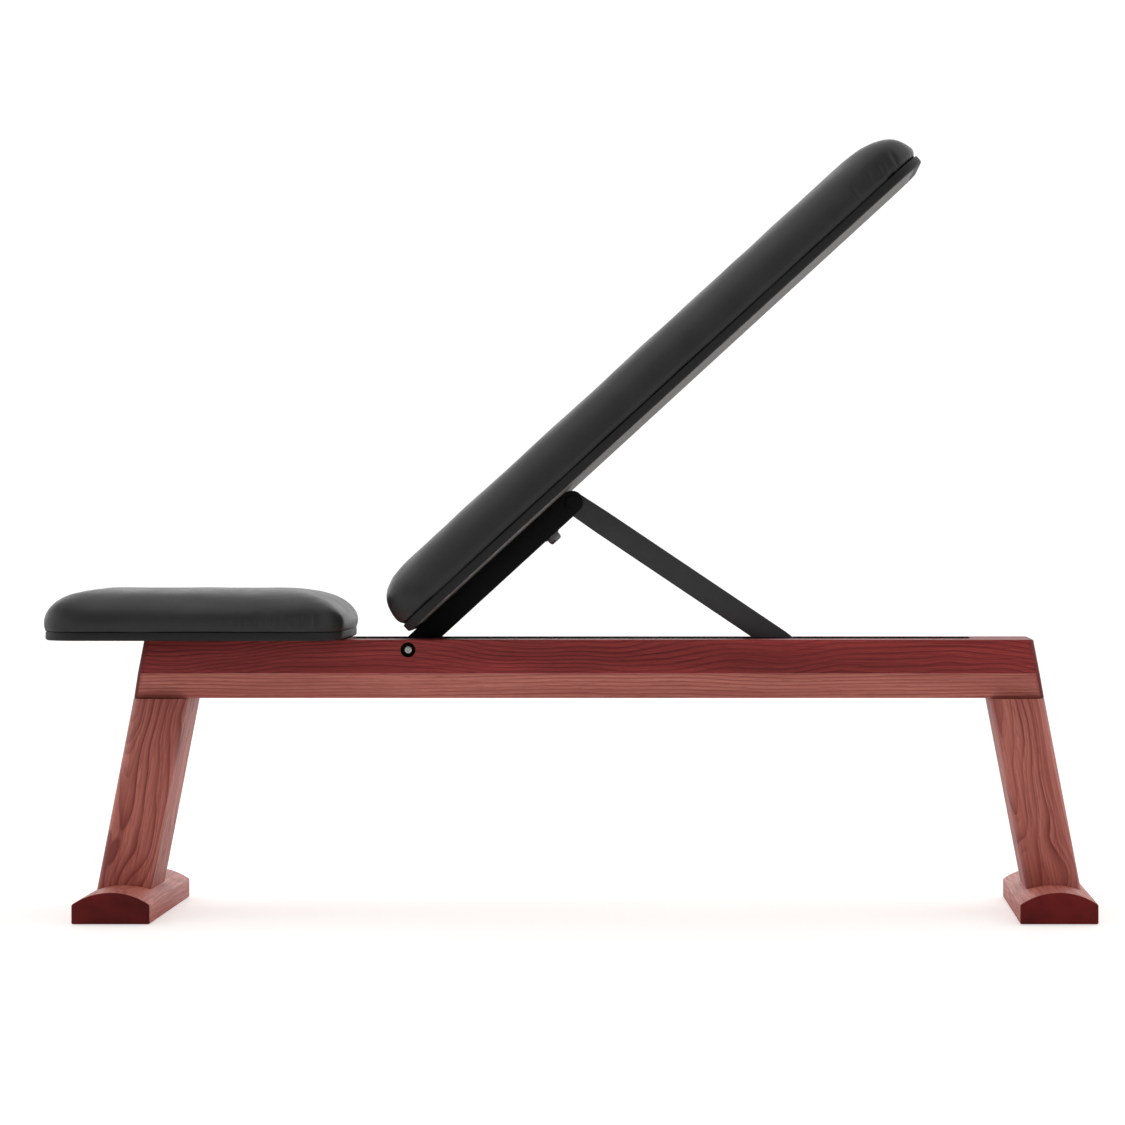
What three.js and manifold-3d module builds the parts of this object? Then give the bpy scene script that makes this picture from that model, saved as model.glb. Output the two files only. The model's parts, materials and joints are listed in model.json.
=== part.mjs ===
// Adjustable weight bench: a wooden beam on two splayed legs, a fixed seat pad, and a hinged
// back pad that a strut holds up from a toothed slot in the beam.
// Millimetres. +X runs from the seat end to the head end, +Z is up, and the origin is on the
// floor under the middle of the bench.
import * as THREE from "three";
import { mergeVertices } from "three/addons/utils/BufferGeometryUtils.js";
import Module from "manifold-3d";

const wasm = await Module();
wasm.setup();

// Driving dimensions.
const overallLength = 1320;
const gap = 0.3; // between pieces that touch
const degree = Math.PI / 180;

const footLength = 400; // across the bench
const seatFootX = -561.5; // the head end's foot is the bench's far end
const footWidth = 97;
const footSideHeight = 24;
const footHeight = 39; // at the top of its arch

const legLean = 10.85 * degree;
const legThickness = 69.5; // measured level
const legDepth = 165;
const legCornerRadius = 13;

const beamBottom = 274;
const beamTop = 348;
const beamHalfWidth = 78;
const bevelHeight = 32; // the sloping lower band of the beam's side
const bevelInset = 10;
const slotHalfWidth = 20; // between the two wooden rails
const beamFloorThickness = 9;

const padWidth = 288; // the boards; the cushions stand out a little
const padCornerRadius = 46;
const boardThickness = 11;
const cushionOverhang = 3;
const cushionHeight = 57;
const cushionEdge = 44; // how far in its top edge is rounded
const seatLength = 380;

const slotStart = -276.5; // the steel lining of the slot
const slotEnd = 509;
const liningThickness = 3;
const liningProud = 1.2; // above the beam
const liningBottom = 286;

const pivotX = -203;
const pivotZ = 335.2;
const backAngle = 42.5 * degree; // at rest
const backBoardStart = 18; // from the pivot, along the back
const backBoardLength = 875;
const bracketHalfDepth = 14.5;
const bracketHalfWidth = 13.5;
const bracketWall = 3;
const hingeDistance = 276.5; // from the pivot to the strut's hinge

const strutLength = 365; // between its two pins
const strutRestAngle = 33.9 * degree; // below the level, at rest
const strutWidth = 30;
const strutHalfThickness = 6;
const strutRatio = -1.7355; // strut swing for one unit of back tilt
const footBarRadius = 6;

const rackInner = 9; // the two racks' inner faces, from the middle
const rackClearance = 0.5; // between the foot bar's path and the teeth
const notchDepth = 5;
const notchAngles = [0, 14, 28, 42.5, 56, 70]; // the back's resting angles

// One finish for each material.
function finish(color, roughness, metalness) {
  return new THREE.MeshStandardMaterial({ color, roughness, metalness });
}
const stainedAsh = finish(0x7d3232, 0.45, 0);
const leather = finish(0x2b2b2d, 0.4, 0);
const linerCloth = finish(0x8f8d88, 0.9, 0);
const blackSteel = finish(0x101011, 0.45, 0.4);
const greySteel = finish(0x39393b, 0.45, 0.6);
const brightSteel = finish(0xb9babd, 0.25, 1);
const nylon = finish(0x1d1d1e, 0.6, 0);

// Solids.
function toSolid(geometry) {
  const bare = geometry.index ? geometry.toNonIndexed() : geometry.clone();
  bare.deleteAttribute("normal");
  bare.deleteAttribute("uv");
  const merged = mergeVertices(bare, 1e-4);
  const vertProperties = merged.attributes.position.array;
  const triVerts = new Uint32Array(merged.index.array);
  return new wasm.Manifold(new wasm.Mesh({ numProp: 3, vertProperties, triVerts }));
}

function toGeometry(solid) {
  const mesh = solid.getMesh();
  const geometry = new THREE.BufferGeometry();
  const points = new Float32Array(mesh.vertProperties);
  geometry.setAttribute("position", new THREE.BufferAttribute(points, 3));
  geometry.setIndex(Array.from(mesh.triVerts));
  const facets = geometry.toNonIndexed();
  facets.computeVertexNormals();
  return facets;
}

function cut(base, tools) {
  let solid = toSolid(base);
  for (const tool of tools) solid = solid.subtract(toSolid(tool));
  return toGeometry(solid);
}

function join(pieces) {
  let solid = toSolid(pieces[0]);
  for (const piece of pieces.slice(1)) solid = solid.add(toSolid(piece));
  return toGeometry(solid);
}

function common(first, second) {
  return toGeometry(toSolid(first).intersect(toSolid(second)));
}

// A box between two values on each axis.
function block([x0, x1], [y0, y1], [z0, z1]) {
  const geometry = new THREE.BoxGeometry(x1 - x0, y1 - y0, z1 - z0);
  return geometry.translate((x0 + x1) / 2, (y0 + y1) / 2, (z0 + z1) / 2);
}

// A round bar, or a cone's stretch, between two points.
function rod(start, end, radius, endRadius = radius, sides = 12) {
  const from = new THREE.Vector3(...start);
  const to = new THREE.Vector3(...end);
  const length = from.distanceTo(to);
  const geometry = new THREE.CylinderGeometry(endRadius, radius, length, sides);
  const direction = to.clone().sub(from).normalize();
  const turn = new THREE.Quaternion();
  turn.setFromUnitVectors(new THREE.Vector3(0, 1, 0), direction);
  const middle = from.add(to).multiplyScalar(0.5);
  return geometry.applyQuaternion(turn).translate(middle.x, middle.y, middle.z);
}

// A bar across the bench, between two values of Y.
function crossRod([x, z], [y0, y1], radius, sides = 12) {
  return rod([x, y0, z], [x, y1, z], radius, radius, sides);
}

// An outline in X and Z, as thick as the stretch of Y.
function sidePlate(outline, [y0, y1], curveSegments = 6) {
  const options = { depth: y1 - y0, bevelEnabled: false, curveSegments };
  const geometry = new THREE.ExtrudeGeometry(outline, options);
  return geometry.rotateX(Math.PI / 2).translate(0, y1, 0);
}

// An outline in Y and Z, as long as the stretch of X.
function lengthwise(outline, [x0, x1]) {
  const geometry = new THREE.ExtrudeGeometry(outline, { depth: x1 - x0, bevelEnabled: false });
  const along = new THREE.Matrix4().makeBasis(
    new THREE.Vector3(0, 1, 0),
    new THREE.Vector3(0, 0, 1),
    new THREE.Vector3(1, 0, 0),
  );
  return geometry.applyMatrix4(along).translate(x0, 0, 0);
}

function outlineOf(points) {
  return new THREE.Shape(points.map(([x, y]) => new THREE.Vector2(x, y)));
}

function roundedRectangle([x0, x1], [y0, y1], radius) {
  const shape = new THREE.Shape();
  shape.moveTo(x0 + radius, y0);
  shape.absarc(x1 - radius, y0 + radius, radius, -Math.PI / 2, 0, false);
  shape.absarc(x1 - radius, y1 - radius, radius, 0, Math.PI / 2, false);
  shape.absarc(x0 + radius, y1 - radius, radius, Math.PI / 2, Math.PI, false);
  shape.absarc(x0 + radius, y0 + radius, radius, Math.PI, Math.PI * 1.5, false);
  return shape;
}

// A bolt or screw: a round head and its shank, between two points on its axis.
function bolt(headPoint, seatPoint, tipPoint, headRadius, shankRadius, headSides = 12) {
  const seat = new THREE.Vector3(...seatPoint);
  const inside = seat.clone().lerp(new THREE.Vector3(...headPoint), 0.5);
  const head = rod(headPoint, seatPoint, headRadius, headRadius, headSides);
  const shank = rod(inside.toArray(), tipPoint, shankRadius);
  return join([head, shank]);
}

// The bench and its three bodies. Each group is drawn in its own frame.
const bench = new THREE.Group();
const backGroup = new THREE.Group();
backGroup.position.set(pivotX, 0, pivotZ);
backGroup.rotation.y = -backAngle;
const strutGroup = new THREE.Group();
strutGroup.position.set(hingeDistance, 0, 0);
strutGroup.rotation.y = strutRestAngle + backAngle;
backGroup.add(strutGroup);
bench.add(backGroup);

function add(group, name, geometry, material) {
  const mesh = new THREE.Mesh(geometry, material);
  mesh.name = name;
  group.add(mesh);
}

// The two ends of the bench: where the foot stands and which way its leg leans.
const ends = [
  { name: "seat", footX: seatFootX, side: -1 },
  { name: "head", footX: overallLength / 2 - footWidth / 2, side: 1 },
];
const sides = [
  { name: "front", y: -1 },
  { name: "rear", y: 1 },
];

// The middle of a leg at a height.
function legMiddle(end, z) {
  return end.footX - end.side * (z - footHeight) * Math.tan(legLean);
}

function beamEndX(end, z) {
  return legMiddle(end, z) + (end.side * legThickness) / 2;
}

// Long bolts run up each leg, from under the foot to a barrel nut in the beam.
const legBoltY = 55;
const legBoltRadius = 5;
const legBoltHeadRadius = 8;
const legBoltHead = [5, 15]; // heights of the head's two faces
const legBoltTop = 336;
const barrelNutZ = 322;
const barrelNutRadius = 7;
const barrelNutReach = [45, 65];
const boltClearance = 0.4;

function legBoltPoint(end, side, z) {
  return [legMiddle(end, z), side.y * legBoltY, z];
}

function legBoltHole(end, side) {
  const radius = legBoltRadius + boltClearance;
  return rod(legBoltPoint(end, side, -20), legBoltPoint(end, side, legBoltTop + 3), radius);
}

// Feet: flat below, arched above.
function footOutline(end, grow) {
  const half = footWidth / 2;
  const rise = footHeight - footSideHeight;
  const radius = (half * half + rise * rise) / (2 * rise);
  const centreZ = footHeight - radius;
  const swing = Math.asin(half / radius);
  const shape = new THREE.Shape();
  shape.moveTo(end.footX - half, -grow);
  shape.lineTo(end.footX + half, -grow);
  const from = Math.PI / 2 - swing;
  const to = Math.PI / 2 + swing;
  shape.absarc(end.footX, centreZ, radius + grow, from, to, false);
  return shape;
}

function foot(end) {
  const body = sidePlate(footOutline(end, 0), [-footLength / 2, footLength / 2], 14);
  const tools = [];
  for (const side of sides) {
    tools.push(legBoltHole(end, side));
    const mouth = legBoltPoint(end, side, -10);
    const seat = legBoltPoint(end, side, legBoltHead[1] + gap);
    tools.push(rod(mouth, seat, legBoltHeadRadius + 1));
  }
  return cut(body, tools);
}

function leg(end) {
  const halfThickness = (legThickness * Math.cos(legLean)) / 2;
  const plan = roundedRectangle(
    [-halfThickness, halfThickness],
    [-legDepth / 2, legDepth / 2],
    legCornerRadius,
  );
  const post = new THREE.ExtrudeGeometry(plan, { depth: 400, bevelEnabled: false, curveSegments: 5 });
  post.translate(0, 0, -100).rotateY(-end.side * legLean).translate(end.footX, 0, footHeight);
  const trimmed = common(post, block([-800, 800], [-200, 200], [10, beamBottom - gap]));
  const tools = [sidePlate(footOutline(end, gap), [-footLength, footLength], 14)];
  for (const side of sides) tools.push(legBoltHole(end, side));
  return cut(trimmed, tools);
}

// The seat's bolts come up through the rails into nuts in the seat board.
const seatBoltX = [-460, -330];
const seatBoltY = 40;
const seatBoltHead = [292, 300];
const seatBoltHeadRadius = 8;
const seatBoltRadius = 4;

// The back's pivot bolt crosses both rails.
const pivotRadius = 5;
const pivotHeadRadius = 6.5;
const pivotHeadDepth = [5, 10]; // below the beam's side: the head's two faces
const counterboreRadius = 9.5;

// Screws hold the racks and the lining to the rails.
const rackScrewX = [200, 400];
const rackScrewZ = 292.5;
const rackScrewRadius = 2.2;
const rackScrewHeadRadius = 4.2;
const rackScrewTip = 42;
const liningOuter = slotHalfWidth - gap;
const liningInner = liningOuter - liningThickness;
const rackOuter = liningInner - gap;

function rail(side) {
  const section = outlineOf([
    [side.y * slotHalfWidth, beamBottom],
    [side.y * (beamHalfWidth - bevelInset), beamBottom],
    [side.y * beamHalfWidth, beamBottom + bevelHeight],
    [side.y * beamHalfWidth, beamTop],
    [side.y * slotHalfWidth, beamTop],
  ]);
  const body = common(lengthwise(section, [-700, 700]), beamProfile());
  const tools = [
    crossRod([pivotX, pivotZ], [side.y * 10, side.y * 90], pivotRadius + boltClearance),
    crossRod(
      [pivotX, pivotZ],
      [side.y * (beamHalfWidth - pivotHeadDepth[1] - gap), side.y * 90],
      counterboreRadius,
      24,
    ),
  ];
  for (const end of ends) {
    tools.push(legBoltHole(end, side));
    tools.push(
      crossRod(
        [legMiddle(end, barrelNutZ), barrelNutZ],
        [side.y * (slotHalfWidth - 5), side.y * (barrelNutReach[1] + 1)],
        barrelNutRadius + boltClearance,
      ),
    );
  }
  for (const x of seatBoltX) {
    const y = side.y * seatBoltY;
    tools.push(rod([x, y, 200], [x, y, 400], seatBoltRadius + boltClearance));
    tools.push(rod([x, y, 200], [x, y, seatBoltHead[1] + gap], seatBoltHeadRadius + 1.5));
  }
  for (const x of rackScrewX) {
    const reach = [side.y * 15, side.y * (rackScrewTip + 1)];
    tools.push(crossRod([x, rackScrewZ], reach, rackScrewRadius + boltClearance, 12));
  }
  return cut(body, tools);
}

// The beam's side view: its ends follow the lean of the legs.
function beamProfile() {
  const [seatEnd, headEnd] = ends;
  const outline = outlineOf([
    [beamEndX(seatEnd, beamBottom), beamBottom],
    [beamEndX(headEnd, beamBottom), beamBottom],
    [beamEndX(headEnd, beamTop), beamTop],
    [beamEndX(seatEnd, beamTop), beamTop],
  ]);
  return sidePlate(outline, [-200, 200]);
}

function beamBlock(x0, x1) {
  const half = slotHalfWidth - gap;
  return common(block([x0, x1], [-half, half], [beamBottom - 1, beamTop + 1]), beamProfile());
}

function beam() {
  for (const side of sides) add(bench, "beam_rail_" + side.name, rail(side), stainedAsh);
  add(bench, "beam_block_seat_end", beamBlock(-700, slotStart - gap), stainedAsh);
  add(bench, "beam_block_head_end", beamBlock(slotEnd + gap, 700), stainedAsh);
  const half = slotHalfWidth - gap;
  const floorSpan = [slotStart, slotEnd];
  const floorHeights = [beamBottom, beamBottom + beamFloorThickness];
  add(bench, "beam_floor", block(floorSpan, [-half, half], floorHeights), stainedAsh);
}

function legsAndFeet() {
  for (const end of ends) {
    add(bench, "foot_" + end.name + "_end", foot(end), stainedAsh);
    add(bench, "leg_" + end.name + "_end", leg(end), stainedAsh);
    for (const side of sides) {
      const label = end.name + "_" + side.name;
      const points = [...legBoltHead, legBoltTop].map((z) => legBoltPoint(end, side, z));
      add(bench, "leg_bolt_" + label, bolt(...points, legBoltHeadRadius, legBoltRadius), brightSteel);
      const spot = [legMiddle(end, barrelNutZ), barrelNutZ];
      const reach = barrelNutReach.map((y) => side.y * y);
      const nut = cut(crossRod(spot, reach, barrelNutRadius), [legBoltHole(end, side)]);
      add(bench, "barrel_nut_" + label, nut, brightSteel);
    }
  }
}

// Where the strut's foot bar is when the back stands at an angle.
function footBarAt(angle) {
  const hingeX = pivotX + hingeDistance * Math.cos(angle);
  const hingeZ = pivotZ + hingeDistance * Math.sin(angle);
  const slope = -strutRestAngle + (1 + strutRatio) * (angle - backAngle);
  return [hingeX + strutLength * Math.cos(slope), hingeZ + strutLength * Math.sin(slope)];
}

// A rack's outline: below each resting place a notch with an upright stop on its head side.
function rackOutline() {
  const bottom = beamBottom + beamFloorThickness + gap;
  const stopRise = footBarRadius + rackClearance;
  const points = [];
  const places = notchAngles.map((angle) => footBarAt(angle * degree));
  const [lastX, lastZ] = places[places.length - 1];
  const [firstX, firstZ] = places[0];
  points.push([lastX - 28, bottom]);
  points.push([firstX + 22, bottom]);
  points.push([firstX + 22, firstZ - stopRise]);
  for (const [x, z] of places) {
    const tip = z - stopRise;
    points.push([x + 9, tip]);
    points.push([x + 7, tip - notchDepth]);
    points.push([x - 5, tip - notchDepth]);
  }
  points.push([lastX - 28, lastZ - stopRise - 1]);
  return outlineOf(points);
}

function slotSteel() {
  for (const side of sides) {
    const screwHoles = rackScrewX.map((x) =>
      crossRod([x, rackScrewZ], [0, side.y * 30], rackScrewRadius + boltClearance, 12),
    );
    const reach = [side.y * liningInner, side.y * liningOuter].sort((a, b) => a - b);
    const plate = block([slotStart, slotEnd], reach, [liningBottom, beamTop + liningProud]);
    const pivotHole = crossRod([pivotX, pivotZ], [0, side.y * 30], pivotRadius + boltClearance);
    add(bench, "slot_lining_" + side.name, cut(plate, [pivotHole, ...screwHoles]), blackSteel);

    const rackReach = [side.y * rackInner, side.y * rackOuter].sort((a, b) => a - b);
    const headPocket = side.y * (rackInner + 3);
    const pockets = rackScrewX.map((x) =>
      crossRod([x, rackScrewZ], [0, headPocket + side.y * gap], rackScrewHeadRadius + gap, 12),
    );
    const rack = cut(sidePlate(rackOutline(), rackReach), [...screwHoles, ...pockets]);
    add(bench, "rack_" + side.name, rack, greySteel);

    rackScrewX.forEach((x, index) => {
      const points = [rackInner + gap, rackInner + 3, rackScrewTip].map((y) => [x, side.y * y, rackScrewZ]);
      const screw = bolt(...points, rackScrewHeadRadius, rackScrewRadius, 12);
      add(bench, "rack_screw_" + side.name + "_" + (index + 1), screw, brightSteel);
    });
  }
}

// Pivot: a socket bolt and its sleeve nut, with spacers on each side of the back's bracket.
function pivot() {
  const at = (y) => [pivotX, y, pivotZ];
  const outerFace = beamHalfWidth - pivotHeadDepth[0];
  const seatFace = beamHalfWidth - pivotHeadDepth[1];
  const body = bolt(at(-outerFace), at(-seatFace), at(seatFace - 12), pivotHeadRadius, pivotRadius, 24);
  const socket = rod(at(-outerFace - 1), at(-outerFace + 3), 2.9, 2.9, 6);
  add(bench, "pivot_bolt", cut(body, [socket]), brightSteel);
  const nut = join([
    crossRod([pivotX, pivotZ], [seatFace, outerFace], pivotHeadRadius, 24),
    crossRod([pivotX, pivotZ], [seatFace - 11.5, seatFace + 1], pivotRadius),
  ]);
  const nutSocket = rod(at(outerFace + 1), at(outerFace - 3), 2.9, 2.9, 6);
  add(bench, "pivot_sleeve_nut", cut(nut, [nutSocket]), brightSteel);
  for (const side of sides) {
    const reach = [side.y * (bracketHalfWidth + gap), side.y * (liningInner - gap)];
    const ring = crossRod([pivotX, pivotZ], reach, 10);
    const hole = crossRod([pivotX, pivotZ], [0, side.y * 30], pivotRadius + boltClearance);
    add(bench, "pivot_spacer_" + side.name, cut(ring, [hole]), nylon);
  }
}

// A pad's board: a rounded plate with holes for its fixings, sunk at the top for their flanges.
const insertRadius = 5;
const insertFlangeRadius = 10;
const insertFlangeThickness = 1.6;

function padBoard([x0, x1], bottom, holes) {
  const plan = roundedRectangle([x0, x1], [-padWidth / 2, padWidth / 2], padCornerRadius);
  const options = { depth: boardThickness, bevelEnabled: false, curveSegments: 5 };
  const board = new THREE.ExtrudeGeometry(plan, options).translate(0, 0, bottom);
  const top = bottom + boardThickness;
  const tools = [];
  for (const [x, y] of holes) {
    tools.push(rod([x, y, bottom - 5], [x, y, top + 5], insertRadius + gap));
    tools.push(rod([x, y, top - insertFlangeThickness - gap], [x, y, top + 5], insertFlangeRadius + gap));
  }
  return cut(board, tools);
}

function insertNut([x, y], bottom, boreRadius) {
  const top = bottom + boardThickness;
  const body = join([
    rod([x, y, bottom + 1.5], [x, y, top - 1], insertRadius),
    rod([x, y, top - insertFlangeThickness], [x, y, top], insertFlangeRadius),
  ]);
  return cut(body, [rod([x, y, bottom - 5], [x, y, top + 5], boreRadius + boltClearance)]);
}

// A pad's cushion: the same plan, a little larger, with its top edge rounded.
function padCushion([x0, x1], bottom) {
  const half = padWidth / 2 + cushionOverhang;
  const plan = roundedRectangle(
    [x0 + cushionEdge, x1 - cushionEdge],
    [-half + cushionEdge, half - cushionEdge],
    padCornerRadius + cushionOverhang - cushionEdge,
  );
  const options = {
    depth: cushionHeight,
    bevelThickness: cushionEdge,
    bevelSize: cushionEdge,
    bevelSegments: 4,
    curveSegments: 4,
  };
  const swell = new THREE.ExtrudeGeometry(plan, options).translate(0, 0, bottom - cushionEdge);
  return common(swell, block([x0 - 1, x1 + 1], [-half - 1, half + 1], [bottom, bottom + cushionHeight]));
}

function seat() {
  const start = -overallLength / 2;
  const span = [start, start + seatLength];
  const boardSpan = [span[0] + cushionOverhang, span[1] - cushionOverhang];
  const bottom = beamTop + gap;
  const holes = [];
  for (const x of seatBoltX) for (const side of sides) holes.push([x, side.y * seatBoltY]);
  add(bench, "seat_board", padBoard(boardSpan, bottom, holes), leather);
  add(bench, "seat_cushion", padCushion(span, bottom + boardThickness + gap), leather);
  holes.forEach(([x, y], index) => {
    const points = [...seatBoltHead, bottom + boardThickness - 1].map((z) => [x, y, z]);
    const number = index + 1;
    add(bench, "seat_bolt_" + number, bolt(...points, seatBoltHeadRadius, seatBoltRadius, 6), brightSteel);
    add(bench, "seat_insert_nut_" + number, insertNut([x, y], bottom, seatBoltRadius), brightSteel);
  });
}

// The back, drawn lying along X from its pivot, with its pads above it.
const backBoardBottom = bracketHalfDepth + gap;
const linerThickness = 1;
const linerBorder = 14; // from the board's edge to the liner's
const backBoltX = 228.8;
const backScrewX = 60;

function bracketOutline() {
  const shape = new THREE.Shape();
  shape.absarc(0, 0, bracketHalfDepth, Math.PI / 2, Math.PI * 1.5, false);
  shape.absarc(hingeDistance, 0, bracketHalfDepth, -Math.PI / 2, Math.PI / 2, false);
  return shape;
}

function bracket() {
  const body = sidePlate(bracketOutline(), [-bracketHalfWidth, bracketHalfWidth], 7);
  const innerHalf = bracketHalfWidth - bracketWall;
  const innerDepth = bracketHalfDepth - bracketWall;
  const inside = [-innerHalf, innerHalf];
  return cut(body, [
    block([-30, 320], inside, [-innerDepth, innerDepth]),
    block([257, 320], inside, [-20, 20]),
    block([242, 320], inside, [-20, 0]),
    crossRod([0, 0], [-20, 20], pivotRadius + 1.5 + boltClearance),
    crossRod([hingeDistance, 0], [-20, 20], hingePinRadius + boltClearance),
    rod([backBoltX, 0, -20], [backBoltX, 0, 20], seatBoltRadius + boltClearance),
    rod([backScrewX, 0, 0], [backScrewX, 0, 20], 3 + boltClearance),
    rod([backScrewX, 0, -20], [backScrewX, 0, 0], 7.5),
  ]);
}

const hingePinRadius = 5;
const hingeHeadRadius = 8;
const hingeHeadThickness = 1.8;

function hingePin() {
  const half = bracketHalfWidth + gap;
  const at = (y) => [hingeDistance, y, 0];
  const points = [at(-half - hingeHeadThickness), at(-half), at(half + hingeHeadThickness)];
  add(backGroup, "hinge_pin", bolt(...points, hingeHeadRadius, hingePinRadius), greySteel);
  const clip = crossRod([hingeDistance, 0], [half, half + hingeHeadThickness], hingeHeadRadius);
  const hole = crossRod([hingeDistance, 0], [0, 30], hingePinRadius + gap);
  add(backGroup, "hinge_retaining_ring", cut(clip, [hole]), greySteel);
  for (const side of sides) {
    const reach = [side.y * (strutHalfThickness + gap), side.y * (bracketHalfWidth - bracketWall - gap)];
    const ring = crossRod([hingeDistance, 0], reach, 9);
    const bore = crossRod([hingeDistance, 0], [0, side.y * 30], hingePinRadius + gap);
    add(backGroup, "hinge_spacer_" + side.name, cut(ring, [bore]), nylon);
  }
}

function linerSheet([x0, x1], grow, bottom, thickness) {
  const inset = linerBorder - grow;
  const plan = roundedRectangle(
    [x0 + inset, x1 - inset],
    [-padWidth / 2 + inset, padWidth / 2 - inset],
    padCornerRadius - inset,
  );
  const options = { depth: thickness, bevelEnabled: false, curveSegments: 4 };
  return new THREE.ExtrudeGeometry(plan, options).translate(0, 0, bottom);
}

function back() {
  const boardSpan = [backBoardStart, backBoardStart + backBoardLength];
  const cushionSpan = [boardSpan[0] - cushionOverhang + 0.5, boardSpan[1] + cushionOverhang - 0.5];
  const holes = [
    [backScrewX, 0],
    [backBoltX, 0],
  ];
  const recess = linerSheet(boardSpan, gap, backBoardBottom - 1, linerThickness + gap + 1);
  const board = cut(padBoard(boardSpan, backBoardBottom, holes), [recess]);
  add(backGroup, "back_board", board, leather);
  const cushionBottom = backBoardBottom + boardThickness + gap;
  add(backGroup, "back_cushion", padCushion(cushionSpan, cushionBottom), leather);

  const sheet = linerSheet(boardSpan, 0, backBoardBottom, linerThickness);
  const passages = holes.map(([x, y]) => rod([x, y, 0], [x, y, 30], 6));
  add(backGroup, "back_liner", cut(sheet, passages), linerCloth);

  add(backGroup, "back_bracket", bracket(), blackSteel);
  const bush = crossRod([0, 0], [-bracketHalfWidth, bracketHalfWidth], pivotRadius + 1.5);
  const bore = crossRod([0, 0], [-30, 30], pivotRadius + gap);
  add(backGroup, "pivot_bush", cut(bush, [bore]), brightSteel);

  const boltTop = backBoardBottom + boardThickness - 1;
  const boltFace = -bracketHalfDepth - gap;
  const boltPoints = [boltFace - 9, boltFace, boltTop].map((z) => [backBoltX, 0, z]);
  const hexBolt = bolt(...boltPoints, 10, seatBoltRadius, 6);
  add(backGroup, "back_bolt", hexBolt, greySteel);
  add(backGroup, "back_insert_nut_upper", insertNut(holes[1], backBoardBottom, 4), brightSteel);
  const screwSeat = bracketHalfDepth - bracketWall - gap;
  const screwPoints = [screwSeat - 4, screwSeat, boltTop].map((z) => [backScrewX, 0, z]);
  add(backGroup, "back_screw", bolt(...screwPoints, 6, 3), brightSteel);
  add(backGroup, "back_insert_nut_lower", insertNut(holes[0], backBoardBottom, 3), brightSteel);
  hingePin();
}

// The strut, drawn lying along X from its hinge.
const strutHingeRadius = 13.8;
const strutTaper = 45;
const strutFootRadius = 10;

function strutOutline() {
  const half = strutWidth / 2;
  const shape = new THREE.Shape();
  shape.absarc(0, 0, strutHingeRadius, Math.PI / 2, Math.PI * 1.5, false);
  shape.lineTo(strutTaper, -half);
  shape.lineTo(strutLength - strutTaper, -half);
  shape.absarc(strutLength, 0, strutFootRadius, -Math.PI / 2, Math.PI / 2, false);
  shape.lineTo(strutLength - strutTaper, half);
  shape.lineTo(strutTaper, half);
  return shape;
}

function strut() {
  const bar = sidePlate(strutOutline(), [-strutHalfThickness, strutHalfThickness], 6);
  const holes = [
    crossRod([0, 0], [-20, 20], hingePinRadius + gap),
    crossRod([strutLength, 0], [-20, 20], footBarRadius + gap),
  ];
  add(strutGroup, "strut", cut(bar, holes), greySteel);
  const reach = rackOuter - 0.7;
  add(strutGroup, "strut_foot_bar", crossRod([strutLength, 0], [-reach, reach], footBarRadius), greySteel);
}

beam();
legsAndFeet();
slotSteel();
pivot();
seat();
back();
strut();

export default bench;
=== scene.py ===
# Adjustable weight bench in red-stained ash, with black leather pads on a steel bracket and strut.
# Metres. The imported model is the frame; the pieces here stand for its plain solids.
import json
import math
import random

import bmesh
import bpy
from mathutils import Matrix, Vector, noise


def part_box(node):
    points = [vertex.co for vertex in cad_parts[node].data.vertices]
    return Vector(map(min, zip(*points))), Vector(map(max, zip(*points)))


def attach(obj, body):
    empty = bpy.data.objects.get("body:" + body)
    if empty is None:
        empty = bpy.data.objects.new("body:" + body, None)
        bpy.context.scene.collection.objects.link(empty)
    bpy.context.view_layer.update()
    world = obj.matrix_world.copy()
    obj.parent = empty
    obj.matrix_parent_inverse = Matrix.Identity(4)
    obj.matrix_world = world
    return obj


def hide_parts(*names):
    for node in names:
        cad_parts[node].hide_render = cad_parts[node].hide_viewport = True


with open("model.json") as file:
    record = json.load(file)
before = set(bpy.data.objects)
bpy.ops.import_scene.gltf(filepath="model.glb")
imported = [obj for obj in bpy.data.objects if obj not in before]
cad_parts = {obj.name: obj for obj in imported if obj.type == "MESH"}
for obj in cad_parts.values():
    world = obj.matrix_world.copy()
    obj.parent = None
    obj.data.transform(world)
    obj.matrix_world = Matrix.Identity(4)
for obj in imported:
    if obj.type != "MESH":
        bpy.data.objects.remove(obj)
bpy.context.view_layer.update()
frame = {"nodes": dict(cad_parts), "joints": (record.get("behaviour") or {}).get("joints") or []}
nodes = frame["nodes"]
MM = 0.001

# Driving dimensions, from the frame.
pivot = Vector(frame["joints"][0]["pos_m"])
hinge = Vector(frame["joints"][1]["pos_m"])
back_angle = math.atan2(hinge.z - pivot.z, hinge.x - pivot.x)
hinge_distance = (hinge - pivot).length
bar_low, bar_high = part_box("strut_foot_bar")
foot_bar = (bar_low + bar_high) / 2
strut_length = (foot_bar - hinge).length
strut_angle = math.atan2(foot_bar.z - hinge.z, foot_bar.x - hinge.x)
leg_lean = math.radians(10.85)

# Pads: the back's are drawn lying along X from its pivot, and turned up when they are done.
PAD_WIDTH = 288 * MM
PAD_CORNER = 46 * MM
BOARD = 11 * MM
OVERHANG = 3.4 * MM
GAP = 0.3 * MM
BACK_START = 18 * MM
BACK_LENGTH = 875 * MM
BACK_UNDERSIDE = 14.8 * MM
BRACKET_DEPTH = 29 * MM
BRACKET_WIDTH = 27 * MM
BRACKET_WALL = 3 * MM
BACK_BOLT = 228.8 * MM
STRUT_WIDTH = 30 * MM
STRUT_THICKNESS = 12 * MM


# ---- camera, light and floor ----


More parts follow.
